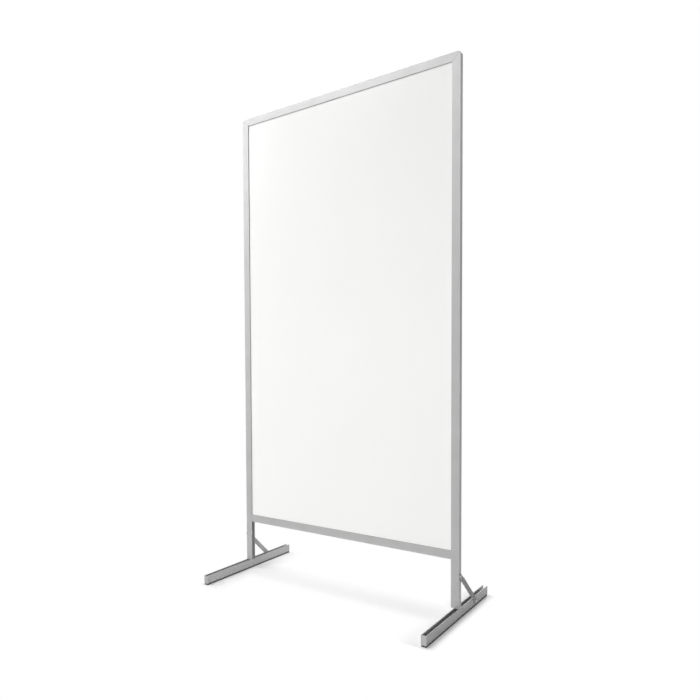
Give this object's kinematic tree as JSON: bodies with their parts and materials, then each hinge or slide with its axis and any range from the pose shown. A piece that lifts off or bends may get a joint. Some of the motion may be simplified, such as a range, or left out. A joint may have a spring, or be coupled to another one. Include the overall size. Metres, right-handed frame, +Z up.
{
  "type": "whiteboard divider",
  "caption": "Free-standing whiteboard divider: a tall white board in a frame of metal channels, standing on channel feet with a slanted brace behind each upright.",
  "frame": {"origin": "on the floor, midway between the feet and midway along them", "axes": "+X to the right seen from the front, +Y to the back where the braces are, +Z up"},
  "size_m": [0.91, 0.51, 1.8],
  "materials": {
    "frame": "satin anodised",
    "brace": "satin light grey powder coat on steel",
    "writing_sheet": "glossy white enamel on steel sheet",
    "core": "plain fibreboard",
    "gasket": "matte grey",
    "rubber": "matte dark grey",
    "insert": "mill finish",
    "fastener": "bright zinc plate"
  },
  "bodies": {
    "root": {"left_upright": "frame", "right_upright": "frame", "top_rail": "frame", "bottom_rail": "frame", "left_foot": "frame", "right_foot": "frame", "left_foot_cap": "frame", "right_foot_cap": "frame", "left_brace": "brace", "right_brace": "brace", "front_writing_sheet": "writing_sheet", "back_writing_sheet": "writing_sheet", "panel_core": "core", "left_gasket": "gasket", "right_gasket": "gasket", "top_gasket": "gasket", "bottom_gasket": "gasket", "left_foot_strip": "rubber", "right_foot_strip": "rubber", "setting_blocks": "rubber", "left_corner_key": "insert", "right_corner_key": "insert", "left_rail_tongue": "insert", "right_rail_tongue": "insert", "left_leg_spigot": "insert", "right_leg_spigot": "insert", "corner_key_screws": "fastener", "rail_tongue_screws": "fastener", "foot_screws": "fastener", "brace_bolts": "fastener", "brace_washers": "fastener", "brace_nuts": "fastener"}
  },
  "joints": []
}
